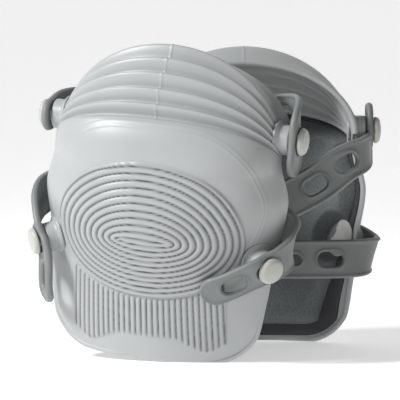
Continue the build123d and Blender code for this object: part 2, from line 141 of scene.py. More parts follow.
def outward(points, quads, tris):
    """Turns all faces round if the closed form they make is inside out."""
    corners = np.concatenate((tris, quads[:, :3], quads[:, (0, 2, 3)]))
    a, b, c = [points[corners[:, i]] for i in range(3)]
    volume = np.einsum("ij,ij->", a - points.mean(0), np.cross(b - a, c - a))
    if volume < 0:
        quads = quads[:, ::-1]
        tris = tris[:, ::-1]
    return quads, tris


def closed_mesh(name, points, faces, values=None):
    """Closed form of four-sided faces, in which a repeated last corner means a triangle."""
    triangle = faces[:, 2] == faces[:, 3]
    quads, tris = outward(points, faces[~triangle], faces[triangle][:, :3])
    return build_mesh(name, points, quads, tris, values)


def grid_faces(rows, columns, wrap=False, flip=False, start=0):
    """Four-sided faces between neighbouring rows and columns of a grid of points."""
    r = np.arange(rows - 1)[:, None]
    c = np.arange(columns if wrap else columns - 1)[None, :]
    after = (c + 1) % columns
    corners = [r * columns + c, r * columns + after, (r + 1) * columns + after, (r + 1) * columns + c]
    faces = np.stack([np.broadcast_to(k, (rows - 1, c.shape[1])) for k in corners], -1)
    faces = faces.reshape(-1, 4) + start
    return faces[:, ::-1] if flip else faces


def unit(vectors):
    """Vectors scaled to length one."""
    return vectors / np.maximum(np.linalg.norm(vectors, axis=-1, keepdims=True), 1e-12)


def lathe(profile, origin, axis, turns=48):
    """Points and faces of a profile (radius, height) turned round an axis; the ends are left open."""
    axis = unit(np.asarray(axis, float))
    side = unit(np.cross(axis, (0.3, 0.2, 1.0)))
    other = np.cross(axis, side)
    angle = np.linspace(0, 2 * math.pi, turns, endpoint=False)
    ring = np.cos(angle)[:, None] * side + np.sin(angle)[:, None] * other
    radius = np.array([p[0] for p in profile])[:, None, None]
    height = np.array([p[1] for p in profile])[:, None, None]
    points = np.asarray(origin) + ring[None] * radius + axis * height
    faces = grid_faces(len(profile), turns, wrap=True)
    return points.reshape(-1, 3), faces


def tube(line, radius, guide, turns=12):
    """Points and faces of a round tube along a line; its rings start square to the guide."""
    ahead = np.roll(line, -1, 0) - np.roll(line, 1, 0)
    ahead[0] = line[1] - line[0]
    ahead[-1] = line[-1] - line[-2]
    ahead = unit(ahead)
    side = unit(np.cross(ahead, guide))
    other = np.cross(side, ahead)
    angle = np.linspace(0, 2 * math.pi, turns, endpoint=False)
    ring = np.cos(angle)[None, :, None] * side[:, None]
    ring = ring + np.sin(angle)[None, :, None] * other[:, None]
    points = line[:, None] + ring * radius
    return points.reshape(-1, 3), grid_faces(len(points), turns, wrap=True)


def join_sets(sets):
    """Several (points, faces) sets as one."""
    points = []
    faces = []
    count = 0
    for some, few in sets:
        points.append(some)
        faces.append(np.asarray(few) + count)
        count += len(some)
    return np.concatenate(points), np.concatenate(faces)


print("helpers ready")

# %% [markdown]
# ## The shape of the shell
# Each row of the shell is a crowned section: a level one on the shin and the kneecap, one in
# a plane that fans about the fold axis on the dome and the pleats, and an upright one on the
# hood's cuff. A crowned section rises from the side edge to the kneecap as a rounded arch,
# forward = rear + rise * (1 - (across / half width) ^ p) ^ (1 / q).

# %% Sizes of a pad
LEVELS = np.array([
    # height, half width, rear edge, kneecap face, p, q
    (-140.5, 80.0, 34.0, 59.0, 2.0, 1.0),
    (-113.0, 81.0, 33.0, 60.7, 2.05, 1.15),
    (-90.0, 84.0, 28.0, 62.0, 2.1, 1.25),
    (-58.0, 87.5, 19.0, 63.5, 2.15, 1.5),
    (-25.0, 92.0, 10.0, 61.5, 2.3, 2.1),
    (0.0, 86.0, 8.0, 55.5, 2.3, 2.3),
])
LOW = -140.5
CORNER = 33.0
TONGUE = 80.0
DOME = 42.0
DEPTH = 55.5
SIDE = 8.0
PLEATS = 5
PLEAT_DEPTH = 6.0
PLEAT_SIDE = 0.035
DOME_SWELL = 0.7
DOME_ROUND = 2.3
HALF_DOME = 86.0
TOP = 82.5
CUFF = 18.0
CUFF_DROP = 12.0
WALL = 3.4


def level_values(height):
    """Section values at any heights, on smooth curves through the sizes of the pad."""
    rows = LEVELS
    i = np.clip(np.searchsorted(rows[:, 0], height, side="right") - 1, 0, len(rows) - 2)
    before = rows[np.maximum(i - 1, 0)]
    start = rows[i]
    end = rows[i + 1]
    after = rows[np.minimum(i + 2, len(rows) - 1)]
    share = ((height - start[:, 0]) / (end[:, 0] - start[:, 0]))[:, None]
    lead = (end - before) / 2
    trail = (after - start) / 2
    value = (2 * share**3 - 3 * share**2 + 1) * start + (share**3 - 2 * share**2 + share) * lead
    return value + (3 * share**2 - 2 * share**3) * end + (share**3 - share**2) * trail


def step(low, high, value):
    """Smooth step from 0 at low to 1 at high."""
    share = np.clip((value - low) / (high - low), 0, 1)
    return share * share * (3 - 2 * share)


def pleat_height(angle):
    """How high the pleats stand at a fan angle: 1 on a crest, 0 in a broad valley."""
    phase = np.clip((angle - DOME) / (90.0 - DOME) * PLEATS, 0, PLEATS)
    return np.abs(np.cos(math.pi * phase)) ** 1.8 * step(0.0, 0.9, phase)


def section_rows(corner, lower, lift, fan, folds, band, trimmed=0.0):
    """Rows of the shell: origin, direction, half width, rear, crown, p, q, trim and fan angle."""
    t = np.linspace(math.pi / 2, 0, corner, endpoint=False)
    radius = CORNER - trimmed
    foot = LOW + CORNER
    heights = np.concatenate((foot - radius * np.sin(t), np.linspace(foot, 0, lower, endpoint=False)))
    values = level_values(heights)
    trim = np.full(len(heights), 1e3)
    widening = (values[:corner, 1] - TONGUE) * (1 - np.sin(t))
    trim[:corner] = TONGUE - CORNER + radius * np.cos(t) + widening
    origin = np.stack((0 * heights, 0 * heights, heights), 1)
    out = np.tile((0.0, -1.0, 0.0), (len(heights), 1))
    angles = np.concatenate((
        np.linspace(0, 12, lift, endpoint=False),
        np.linspace(12, DOME, fan, endpoint=False),
        np.linspace(DOME, 90, folds),
    ))
    turn = np.radians(angles)
    share = np.clip((angles - DOME) / (90 - DOME), 0, 1)
    swell = DEPTH + DOME_SWELL * np.sin(math.pi * np.clip(angles / DOME, 0, 1))
    envelope = DEPTH + (TOP - DEPTH) * np.clip(share, 0, 1) ** 1.05
    folds_in = PLEAT_DEPTH * step(0, 0.1, share) * (1 - pleat_height(angles))
    crown = np.where(angles < DOME, swell, envelope - 0.4 - folds_in)
    half = np.where(angles < DOME, HALF_DOME, HALF_DOME - 1.6 * share)
    power = np.where(angles < DOME, DOME_ROUND, DOME_ROUND - 0.3 * share)
    fans = np.stack((half, 0 * half + SIDE, crown, power, power), 1)
    origin = np.concatenate((origin, np.zeros((len(angles), 3))))
    out = np.concatenate((out, np.stack((0 * turn, -np.cos(turn), np.sin(turn)), 1)))
    back = np.linspace(0, CUFF, band + 1)[1:]
    across = back / CUFF
    foot = SIDE - 2.0 * across + 10.0 * step(0.55, 1.0, across)
    cuff_crown = TOP - CUFF_DROP * across ** 1.1
    cuffs = np.stack((84.4 + 0.3 * across, foot, cuff_crown, 0 * back + 2.0, 0 * back + 2.0), 1)
    origin = np.concatenate((origin, np.stack((0 * back, back, 0 * back), 1)))
    out = np.concatenate((out, np.tile((0.0, 0.0, 1.0), (len(back), 1))))
    table = np.concatenate((values[:, 1:], fans, cuffs))
    trim = np.concatenate((trim, np.full(len(angles) + len(back), 1e3)))
    fan_angle = np.concatenate((np.full(len(heights), -1.0), angles, np.full(len(back), 95.0)))
    return origin, out, table, trim, fan_angle


def shell_grid(columns, inset=0.0, recess=0.0, **counts):
    """Grid of points over the shell, evenly spaced across; also each point's distance across."""
    origin, out, table, trim, fan_angle = section_rows(**counts)
    half, rear, crown, p, q = [table[:, i][:, None] for i in range(5)]
    angle = np.linspace(0, math.pi, 801)[None, :]
    cosine = np.cos(angle)
    x = (half - inset) * np.sign(cosine) * np.abs(cosine) ** (2 / p)
    y = rear + (crown - inset - rear) * np.abs(np.sin(angle)) ** (2 / q)
    fade = step(10.0, 34.0, y) * ((fan_angle > DOME) & (fan_angle <= 90))[:, None]
    ripple = (1 - pleat_height(fan_angle))[:, None] * step(DOME, DOME + 6, fan_angle)[:, None]
    x = x * (1 - PLEAT_SIDE * fade * ripple)
    rows = len(x)
    grid_x = np.empty((rows, columns))
    grid_y = np.empty((rows, columns))
    arc = np.empty((rows, columns))
    for i in range(rows):
        kept = y[i] >= rear[i] + recess
        px = x[i][kept]
        py = y[i][kept]
        if trim[i] < px.max():
            inside = np.abs(px) < trim[i]
            height = np.interp(trim[i], px[::-1], py[::-1])
            px = np.concatenate(((trim[i],), px[inside], (-trim[i],)))
            py = np.concatenate(((height,), py[inside], (height,)))
        length = np.concatenate(((0.0,), np.cumsum(np.hypot(np.diff(px), np.diff(py)))))
        even = np.linspace(0, length[-1], columns)
        grid_x[i] = np.interp(even, length, px)
        grid_y[i] = np.interp(even, length, py)
        arc[i] = length[-1] / 2 - even
    points = origin[:, None] + grid_x[..., None] * np.array((1.0, 0, 0)) + grid_y[..., None] * out[:, None]
    return points, arc, fan_angle


def grid_normals(points):
    """Outward directions over a grid of points."""
    along = np.gradient(points, axis=0)
    across = np.gradient(points, axis=1)
    return unit(np.cross(along, across))


print("section rows ready")

# %% [markdown]
# ## Ribs moulded into the shell
# The kneecap carries one long rounded rib wound into a flattened spiral. Its turns are found
# from ellipses that are a fixed amount wider than they are high; half height / pitch -
# angle / one turn is a phase, and its whole numbers are grooves. Halving finds each point's
# ellipse. Upright ribs run down the shin below it, and a fine double line
# follows the side rim and the edge of the dome.

# %% Relief of the shell
SPIRAL_Z = -48.0
SPIRAL_HALF = 18.0
SPIRAL_PITCH = 5.3
SPIRAL_REACH = 57.0
RIB_PITCH = 4.3


def relief(arc, length, height, fan_angle):
    """Height of the moulded ribs, and how far down into the grooves each point lies (0 to 1); the second is
    used as painted shade in the grooves.
    """
    rise = height - SPIRAL_Z
    rise = np.where(rise < 0, rise * 1.33, rise)
    low = np.zeros_like(rise)
    high = np.full_like(rise, 160.0)
    for _ in range(24):
        middle = (low + high) / 2
        outside = (arc / (middle + SPIRAL_HALF)) ** 2 + (rise / middle) ** 2 > 1
        low = np.where(outside, middle, low)
        high = np.where(outside, high, middle)
    away = (low + high) / 2
    turned = np.arctan2(rise / np.maximum(away, 0.5), arc / (away + SPIRAL_HALF))
    phase = away / SPIRAL_PITCH - turned / (2 * math.pi)
    wave = np.abs(np.sin(math.pi * phase))
    inside = 1 - step(SPIRAL_REACH - 1.0, SPIRAL_REACH + 0.3, away)
    bump = 2.0 * (1 - (1 - wave) ** 2.2) * inside
    # painted shade: how far down a spiral groove a point lies, which darkens the shell's colour there
    groove_shade = (1 - wave) ** 2 * inside
    column = np.abs(np.sin(math.pi * (arc * (1 + 0.0006 * (height + 90)) / RIB_PITCH + 0.5)))
    across = np.abs(arc)
    bottom = -122.0 - 11.0 * step(18.0, 47.0, across) + 6.0 * step(47.0, 60.0, across)
    below = step(SPIRAL_REACH + 1.2, SPIRAL_REACH + 2.8, away) * (height < SPIRAL_Z)
    ribs = below * step(bottom, bottom + 1.6, height) * (1 - step(60.0, 60.8, across))
    bump = bump + 1.4 * (1 - (1 - column) ** 2.2) * ribs
    # painted shade as well at the bottom of the grooves between the upright shin ribs
    groove_shade = groove_shade + (1 - column) ** 2 * ribs
    rim = length / 2 - across - 22.0
    under = DEPTH * math.radians(DOME) - height
    line = 60.0 - np.hypot(np.maximum(60.0 - rim, 0), np.maximum(60.0 - under, 0))
    twin = np.exp(-((line - 3.0) / 0.8) ** 2) + np.exp(-((line - 6.2) / 0.8) ** 2)
    twin = twin * (fan_angle[:, None] < DOME - 1.5) * step(-100, -88, height)
    bump = bump + 0.4 * twin * (1 - inside) * (1 - ribs)
    return bump, np.clip(groove_shade, 0, 1)


# %% [markdown]
# ## Moulded skins
# Dome, shin, pleats and cuff are one rubber moulding, so each pad has one closed skin: an outer
# grid with the ribs, an inner grid a wall's thickness in, and strips that join them at the
# edges. A round bead runs along the rim, and a thicker one along the cuff.

# %% Skins of both pads
OUTER = dict(corner=26, lower=100, lift=10, fan=24, folds=66, band=9)
COLUMNS = 253
RIM_BEAD = 2.1
CUFF_BEAD = 2.2


def strip(a, b):
    """Faces that join two equal lines of point numbers."""
    return np.stack((a[:-1], a[1:], b[1:], b[:-1]), 1)


def skin_points():
    """Outer and inner grids of a pad's skin, in its own frame, with the amount of painted shade in the
    grooves.
    """
    outer, arc, fan_angle = shell_grid(COLUMNS, 0.0, **OUTER)
    height = outer[..., 2].copy()
    fan = fan_angle >= 0
    height[fan] = (DEPTH * np.radians(np.minimum(fan_angle[fan], 90)))[:, None]
    length = (arc[:, 0] - arc[:, -1])[:, None]
    bump, groove_shade = relief(arc, length, height, fan_angle)
    normal = grid_normals(outer)
    outer = outer + normal * (bump - 0.1)[..., None]
    seam = np.exp(-(arc / 0.55) ** 2) * (fan_angle > DOME)[:, None]
    outer = outer + normal * (0.35 * seam)[..., None]
    inner, _, _ = shell_grid(COLUMNS, WALL, **OUTER)
    return outer, inner, groove_shade, fan_angle


def make_skin(pad):
    """One closed skin with its rim bead and cuff bead."""
    outer, inner, groove_shade, fan_angle = skin_points()
    edge = (outer + inner) / 2
    rows, columns = outer.shape[:2]
    kept = np.unique(np.concatenate((np.arange(0, rows, 2), (rows - 1,))))
    inner = inner[kept]
    numbers = np.arange(rows * columns).reshape(rows, columns)
    behind = rows * columns + np.arange(len(kept) * columns).reshape(len(kept), columns)
    faces = [grid_faces(rows, columns)]
    faces.append(grid_faces(len(kept), columns, flip=True, start=rows * columns))
    faces.append(strip(numbers[0, ::-1], behind[0, ::-1]))
    faces.append(strip(numbers[-1], behind[-1]))
    triangles = []
    for column, turn in ((0, 1), (columns - 1, -1)):
        a = numbers[:, column]
        b = behind[:, column]
        two = kept[1:] - kept[:-1] == 2
        low, high = kept[:-1], kept[1:]
        first = np.stack((b[:-1], b[1:], a[high]), 1)
        second = np.stack((b[:-1], a[high], a[high - 1]), 1)
        third = np.stack((b[:-1], a[high - 1], a[low]), 1)[two]
        for some in (first, second, third):
            triangles.append(some[:, ::turn])
    points = np.concatenate((outer.reshape(-1, 3), inner.reshape(-1, 3)))
    # the painted shade amounts go onto the outer grid's points; the inner grid gets none
    value = np.concatenate((groove_shade.ravel(), np.zeros(len(points) - rows * columns)))
    quads = np.concatenate(faces)
    tris = np.concatenate(triangles)
    quads = np.concatenate((quads, np.column_stack((tris, tris[:, 2]))))
    obj = closed_mesh(pad + "_skin", placed(pad, points * MM), quads, {"groove_shade": value})
    low = np.flatnonzero(fan_angle <= 20)[-1]
    loop = np.concatenate((edge[low:0:-1, 0], edge[0], edge[1:low + 1, -1]))
    rim = tube(loop, RIM_BEAD, (0.0, 1.0, 0.3))
    cuff = tube(edge[-1], CUFF_BEAD, (0.0, 1.0, 0.0))
    return obj, rim, cuff


def lathe_set(profile, origin, axis, turns=48):
    """Closed turned form; the profile starts and ends on the axis."""
    points, faces = lathe(profile[1:-1], origin, axis, turns)
    axis = unit(np.asarray(axis, float))
    ends = [np.asarray(origin) + axis * profile[0][1], np.asarray(origin) + axis * profile[-1][1]]
    count = len(points)
    ring = np.arange(turns)
    first = np.stack((np.full(turns, count), np.roll(ring, -1), ring), 1)
    last = count - turns
    second = np.stack((np.full(turns, count + 1), last + ring, last + np.roll(ring, -1)), 1)
    tris = np.concatenate((first, second))
    faces = np.concatenate((faces, np.column_stack((tris, tris[:, 2]))))
    return np.concatenate((points, np.array(ends))), faces


def fold_blend(obj):
    """Bakes the piece's placement into its points."""
    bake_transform(obj)


for pad in PADS:
    skin, rim_set, cuff_set = make_skin(pad)
    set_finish(skin, "shell_rubber")
    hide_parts(pad + "_shell", pad + "_bellows", pad + "_cuff")
    fold_blend(skin)
    rim_line, rim_faces = rim_set
    rim = closed_mesh(pad + "_rim_bead", placed(pad, rim_line * MM), rim_faces)
    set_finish(rim, "shell_rubber")
    fold_blend(rim)
    cuff_line, cuff_faces = cuff_set
    bead = closed_mesh(pad + "_cuff_bead", placed(pad, cuff_line * MM), cuff_faces)
    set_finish(bead, "shell_rubber")
    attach(bead, pad + "_hood")
    print(pad, "skin points", len(skin.data.vertices), "faces", len(skin.data.polygons))

# %% [markdown]
# ## Studs, bosses and plates
# A stud has a domed head, a neck that runs through its boss, and a round plate inside. The
# upper ones sit on the hood's sides, the lower ones on the shin and point forward and down.

# %% Studs
BOSS = 11.0
NECK = 4.75
HEAD = 10.0
HEAD_THICK = 5.6
HEAD_GAP = 6.4
BOSS_LENGTH = 9.0


def stud_place(level, side):
    """Root, outward direction and face distance of a stud, in the pad's frame."""
    if level == "upper":
        return np.array((side * 79.4, 0, 19.0)), np.array((side, 0.0, 0.0)), 3.0 + BOSS_LENGTH
    turn, dip = math.radians(38), math.radians(9)
    out = (side * math.cos(turn) * math.cos(dip), -math.sin(turn) * math.cos(dip), -math.sin(dip))
    out = np.array(out)
    half, rear, crown, p, q = level_values(np.array((-63.0,)))[0][1:]
    forward = rear + (crown - rear) * (1 - 0.9 ** p) ** (1 / q)
    foot = np.array((side * half * 0.9, -forward, -63.0))
    return foot - out * 5.6, out, 5.6 + BOSS_LENGTH


def rounded(radius, low, high, edge, steps=8):
    """Profile points of a cylinder's top edge rounded over."""
    angle = np.linspace(0, math.pi / 2, steps)
    return [(radius - edge + edge * math.cos(a), high - edge + edge * math.sin(a)) for a in angle]


def stud_profile(face):
    """Neck, flat under-side and softly domed head, from the tail up to the crown."""
    under = face + HEAD_GAP
    profile = [(0, -1.6), (NECK - 0.3, -1.6), (NECK, -1.3), (NECK, under - 0.8), (NECK + 0.8, under)]
    profile += [(HEAD - 0.9, under), (HEAD - 0.25, under + 0.25), (HEAD, under + 0.9)]
    angle = np.linspace(0, math.pi / 2, 14)[1:]
    rise = HEAD_THICK - 1.9
    for a in angle:
        profile.append((HEAD - 3.9 + 3.9 * math.cos(a), under + 1.0 + rise * math.sin(a)))
    profile += [(4.0, under + HEAD_THICK - 0.35), (1.5, under + HEAD_THICK - 0.08), (0, under + HEAD_THICK)]
    return profile


def boss_profile(face):
    """Boss that flares softly into the wall it stands on."""
    angle = np.linspace(0, math.pi / 2, 7)
    foot = face - BOSS_LENGTH
    profile = [(0, foot - 2.0), (BOSS + 3.2, foot - 2.0), (BOSS + 3.0, foot - 0.6)]
    for a in angle:
        profile.append((BOSS + 2.6 * (1 - math.sin(a)), foot + 2.6 * (1 - math.cos(a))))
    profile += rounded(BOSS, foot, face, 1.3)
    return profile + [(NECK + 0.1, face), (NECK + 0.05, face - 1.0), (0, face - 1.0)]


def plate_profile(radius):
    """Flat round plate with a rounded edge and a shallow dish round its middle."""
    return [(0, 0), (radius - 0.8, 0), (radius - 0.2, -0.25), (radius, -0.8), (radius - 0.2, -1.35),
            (radius - 0.8, -1.6), (NECK + 3.0, -1.6), (NECK + 2.2, -1.35), (NECK + 1.0, -1.35),
            (NECK + 0.4, -1.6), (0, -1.75)]


PLATES = {"upper": 10.0, "lower": 14.5}
hardware = {}
for pad in PADS:
    for level, body in (("upper", pad + "_hood"), ("lower", pad + "_pad")):
        places = [stud_place(level, side) for side in (1, -1)]
        kinds = (
            ("studs", [stud_profile(face) for _, _, face in places], "stud_plastic"),
            ("backings", [plate_profile(PLATES[level])] * 2, "plate_plastic"),
            ("bosses", [boss_profile(face) for _, _, face in places], "shell_rubber"),
        )
        for kind, profiles, finish in kinds:
            name = pad + "_" + level + "_" + kind
            sets = [lathe_set(p, at, out) for p, (at, out, _) in zip(profiles, places)]
            points, faces = join_sets(sets)
            obj = closed_mesh(name + "_piece", placed(pad, points * MM), faces)
            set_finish(obj, finish)
            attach(obj, body)
            if kind != "bosses":
                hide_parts(name)
            hardware[name] = obj
print("studs and plates", len(hardware))

# %% [markdown]
# ## Straps
# A strap is a flat rubber moulding with round tips, buttonhole slots and a long slot in the
# middle. Its flat pattern is cut into triangles round the slots. The distance to the nearest
# edge gives the thickness, so every edge is rounded and carries a raised bead. The pattern is
# then bent along the path of the strap: tip, stud, round the back, stud, tip.

# %% Strap paths
FLAT_REACH = 11.0
SLOT = (19.0, 11.0)
LONG_SLOT = {"upper": (46.0, 7.5), "lower": (86.0, 7.5)}
TAIL_SLOT = 28.0
END_WIDTH = 24.0
WIDENING = 5.0
TIP = END_WIDTH / 2
HALF_THICK = 1.5
EDGE_CURVE = 1.3
BEAD_RISE = 1.1
BEAD_PLACE = 1.6
BEAD_SPREAD = 0.8
STRAPS = {
    ("front", "upper"): ((48.0, 77.0), [
        (94.0, 8.5, -6.0, 0.0), (75.0,), (90.0, -18.0, 33.0, 0.3), (78.0, -32.0, 29.0, 0.8),
        (48.0, -39.0, 21.0, 1.0), (0.0, -41.0, 17.0, 1.0), (-48.0, -40.0, 16.0, 1.0),
        (-80.0, -34.0, 17.0, 0.8), (-91.5, -20.0, 19.0, 0.25), (0.0,), (-94.0, 16.0, 19.0, 0.0)]),
    ("front", "lower"): ((72.0,), [
        (43.0, 61.0, -83.0, -0.6), (58.0, 59.0, -79.0, -0.3), (22.0,), (98.0, 20.0, -57.0, 0.3),
        (90.0, 1.0, -49.0, 0.7), (60.0, -9.0, -42.0, 1.0), (0.0, -12.0, -38.0, 1.0),
        (-60.0, -9.0, -37.0, 1.0), (-90.0, 2.0, -38.0, 0.7), (-97.5, 20.0, -45.0, 0.3), (55.0,),
        (-80.0, 52.0, -97.0, 0.0), (-77.0, 52.0, -109.0, 0.0)]),
    ("rear", "upper"): ((48.0, 77.0), [
        (94.0, 5.5, 39.5, 0.0), (-75.0,), (90.0, -17.0, 1.0, 0.4),
        (74.0, -30.0, -7.0, 0.9), (47.0, -33.0, -26.0, 1.0), (0.0, -34.0, -44.0, 1.0),
        (-47.0, -33.0, -26.0, 1.0), (-74.0, -30.0, -7.0, 0.9), (-90.0, -17.0, 1.0, 0.4), (-75.0,),
        (-94.0, 5.5, 39.5, 0.0)]),
    ("rear", "lower"): ((72.0,), [
        (72.0, 62.0, -52.0, -0.2), (-14.0,), (98.0, 20.0, -74.0, 0.3), (88.0, 2.0, -77.0, 0.75),
        (60.0, -5.0, -78.0, 1.0), (0.0, -8.0, -78.0, 1.0), (-60.0, -5.0, -78.0, 1.0),
        (-88.0, 2.0, -77.0, 0.75), (-98.0, 20.0, -74.0, 0.3), (-14.0,), (-72.0, 62.0, -52.0, -0.2)]),
}


def smooth_path(rows, steps):
    """Rows with steps smooth ones in each gap."""
    rows = np.array(rows, float)
    before = np.vstack((rows[:1], rows[:-2]))
    after = np.vstack((rows[2:], rows[-1:]))
    start, end = rows[:-1], rows[1:]
    share = (np.arange(steps) / steps)[None, :, None]
    start, end, before, after = [a[:, None] for a in (start, end, before, after)]
    value = (2 * share**3 - 3 * share**2 + 1) * start + (3 * share**2 - 2 * share**3) * end
    value = value + (share**3 - 2 * share**2 + share) * (end - before) / 2
    value = value + (share**3 - share**2) * (after - start) / 2
    return np.vstack((value.reshape(-1, rows.shape[1]), rows[-1:]))


def strap_path(level, stations, steps=10):
    """Places along a strap with its centres, directions and outward faces, and its studs."""
    rows = []
    studs = []
    for station in stations:
        if len(station) > 1:
            across, forward, up, turn = station
            rows.append((across, -forward, up, turn))
            continue
        side = 1 if not studs else -1
        studs.append((len(rows) + 1) * steps)
        root, out, face = stud_place(level, side)
        centre = root + out * (face + HEAD_GAP / 2)
        back = unit(np.array((0, 1, 0)) - out * out[1])
        up = unit(np.array((0, 0, 1)) - out * out[2] - back * back[2])
        climb = math.radians(station[0])
        along = back * math.cos(climb) + up * math.sin(climb)
        some = [tuple(centre + along * k * FLAT_REACH) + (0.0,) for k in (-1, 0, 1)]
        rows += some if side > 0 else some[::-1]
    points = smooth_path(rows, steps)
    count = len(points)
    ahead = points[np.minimum(np.arange(count) + 1, count - 1), :3]
    behind = points[np.maximum(np.arange(count) - 1, 0), :3]
    along = unit(ahead - behind)
    sides = np.where(np.arange(count) < count / 2, 1, -1)
    outs = {side: stud_place(level, side)[1] for side in (1, -1)}
    outs = np.stack([outs[side] for side in sides])
    turn = points[:, 3:4]
    facing = outs * (1 - turn) + np.array((0, 1.0, 0)) * turn
    facing = unit(facing - along * np.sum(facing * along, 1, keepdims=True))
    gaps = np.linalg.norm(np.diff(points[:, :3], axis=0), axis=1)
    places = np.concatenate(((0.0,), np.cumsum(gaps)))
    return places, points[:, :3], along, facing, [places[i] for i in studs]


def half_width(u, length):
    """Half the strap's width at places along it: it widens a little towards the middle."""
    return (END_WIDTH + WIDENING * step(0, 1, np.minimum(u, length - u) / (length * 0.3))) / 2


def edge_distance(u, w, length, slots):
    """Distance inwards from the nearest edge of the strap or of one of its slots."""
    near = np.minimum(u, length - u)
    edge = np.where(near < TIP, TIP - np.hypot(TIP - near, w), half_width(u, length) - np.abs(w))
    for place, (long, wide) in slots:
        out = np.hypot(np.maximum(np.abs(u - place) - (long - wide) / 2, 0), w) - wide / 2
        edge = np.minimum(edge, out)
    return edge


def outline(length, inset):
    """Points round the strap's outline, inset from it."""
    u = np.arange(TIP, length - TIP, 1.5)
    half = half_width(u, length) - inset
    arc = np.linspace(-math.pi / 2, math.pi / 2, 21)[1:-1]
    reach = (TIP - inset) * np.cos(arc)
    rise = (TIP - inset) * np.sin(arc)
    top = np.column_stack((u, -half))
    end = np.column_stack((length - TIP + reach, rise))
    back = np.column_stack((u[::-1], half[::-1]))
    start = np.column_stack((TIP - reach, -rise))
    return np.concatenate((top, end, back, start))


def slot_ring(place, size, outset):
    """Points round an obround slot, outset from its edge."""
    long, wide = size
    reach = (long - wide) / 2
    radius = wide / 2 + outset
    arc = np.linspace(-math.pi / 2, math.pi / 2, 15)
    line = np.linspace(-reach, reach, max(int(2 * reach / 1.3), 3))[1:-1]
    right = np.column_stack((place + reach + radius * np.cos(arc), radius * np.sin(arc)))
    top = np.column_stack((place + line[::-1], np.full(len(line), radius)))
    left = np.column_stack((place - reach - radius * np.cos(arc), -radius * np.sin(arc)))
    low = np.column_stack((place + line, np.full(len(line), -radius)))
    return np.concatenate((right, top, left, low))


def strap_pattern(length, slots):
    """Points and triangles of the flat strap."""
    loops = [outline(length, 0.0)] + [slot_ring(place, size, 0.0) for place, size in slots]
    edges = []
    count = 0
    for loop in loops:
        ring = count + np.arange(len(loop))
        edges.append(np.column_stack((ring, np.roll(ring, -1))))
        count += len(loop)
    rings = []
    for inset in (0.3, 0.8, 1.6, 2.5, 3.6):
        some = [outline(length, inset)] + [slot_ring(place, size, inset) for place, size in slots]
        some = np.concatenate(some)
        rings.append(some[edge_distance(some[:, 0], some[:, 1], length, slots) > inset - 0.06])
    u, w = np.meshgrid(np.arange(2.0, length, 2.4), np.arange(-14.4, 14.5, 2.4))
    fill = np.column_stack((u.ravel(), w.ravel()))
    fill = fill[edge_distance(fill[:, 0], fill[:, 1], length, slots) > 4.4]
    points = np.concatenate(loops + rings + [fill])
    lines = np.concatenate(edges).tolist()
    result = delaunay_2d_cdt([Vector(p) for p in points], lines, [], 0, 1e-5)
    flat = np.array([tuple(v) for v in result[0]])
    faces = np.array(result[2])
    middle = flat[faces].mean(1)
    faces = faces[edge_distance(middle[:, 0], middle[:, 1], length, slots) > 0]
    return flat, faces


def make_strap(pad, level, free, stations):
    """Strap bent along its path, with rounded beads along every edge."""
    places, centres, along, facing, studs = strap_path(level, stations)
    length = places[-1]
    holes = [studs[0], studs[1]]
    for gap in free:
        holes += [studs[0] + gap, studs[1] - gap]
    if studs[0] > TAIL_SLOT + SLOT[0]:
        holes.append(studs[0] - TAIL_SLOT)
    if length - studs[1] > TAIL_SLOT + SLOT[0]:
        holes.append(studs[1] + TAIL_SLOT)
    slots = [(place, SLOT) for place in holes] + [(length / 2, LONG_SLOT[level])]
    flat, faces = strap_pattern(length, slots)
    depth = np.maximum(edge_distance(flat[:, 0], flat[:, 1], length, slots), 0)
    edge = depth < 0.02
    half = HALF_THICK * np.sqrt(np.clip(1 - (1 - np.minimum(depth / EDGE_CURVE, 1)) ** 2, 0, 1))
    half = half + BEAD_RISE * np.exp(-((depth - BEAD_PLACE) / BEAD_SPREAD) ** 2)
    half[edge] = 0
    u = np.clip(flat[:, 0], 0, length)
    centre, ahead, face = [
        np.stack([np.interp(u, places, part[:, i]) for i in range(3)], 1)
        for part in (centres, along, facing)
    ]
    ahead = unit(ahead)
    face = unit(face - ahead * np.sum(face * ahead, 1, keepdims=True))
    across = np.cross(ahead, face)
    middle = centre + across * flat[:, 1:2]
    raised = face * half[:, None]
    count = len(flat)
    under = np.where(edge, np.arange(count), count + np.arange(count))
    points = np.concatenate((middle + raised, middle - raised))
    tris = np.concatenate((faces, under[faces][:, ::-1]))
    used = np.unique(tris)
    fresh = np.zeros(len(points), int)
    fresh[used] = np.arange(len(used))
    points = points[used]
    tris = fresh[tris]
    name = pad + "_" + level + "_strap"
    faces = np.column_stack((tris, tris[:, 2]))
    obj = closed_mesh(name + "_piece", placed(pad, points * MM), faces)
    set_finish(obj, "strap_rubber")
    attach(obj, pad + "_" + level + "_loop")
    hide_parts(name)
    print(obj.name, "length mm", round(length, 1), "triangles", len(tris))
    return obj


straps = {key: make_strap(*key, *value) for key, value in STRAPS.items()}

# %% [markdown]
# ## Liner and cushion
# The liner is a thin dark skin that stops a little inside the rim. The cushion is soft foam
# under fabric: its back follows the liner, and its thickness falls away in a quarter circle at
# every edge and round the lower plates. Cloth simulation swells it a little, and how far a
# point may move is capped, so that it stays in its place.

# %% Liners
LINER = 1.8
LINER_RECESS = 3.5


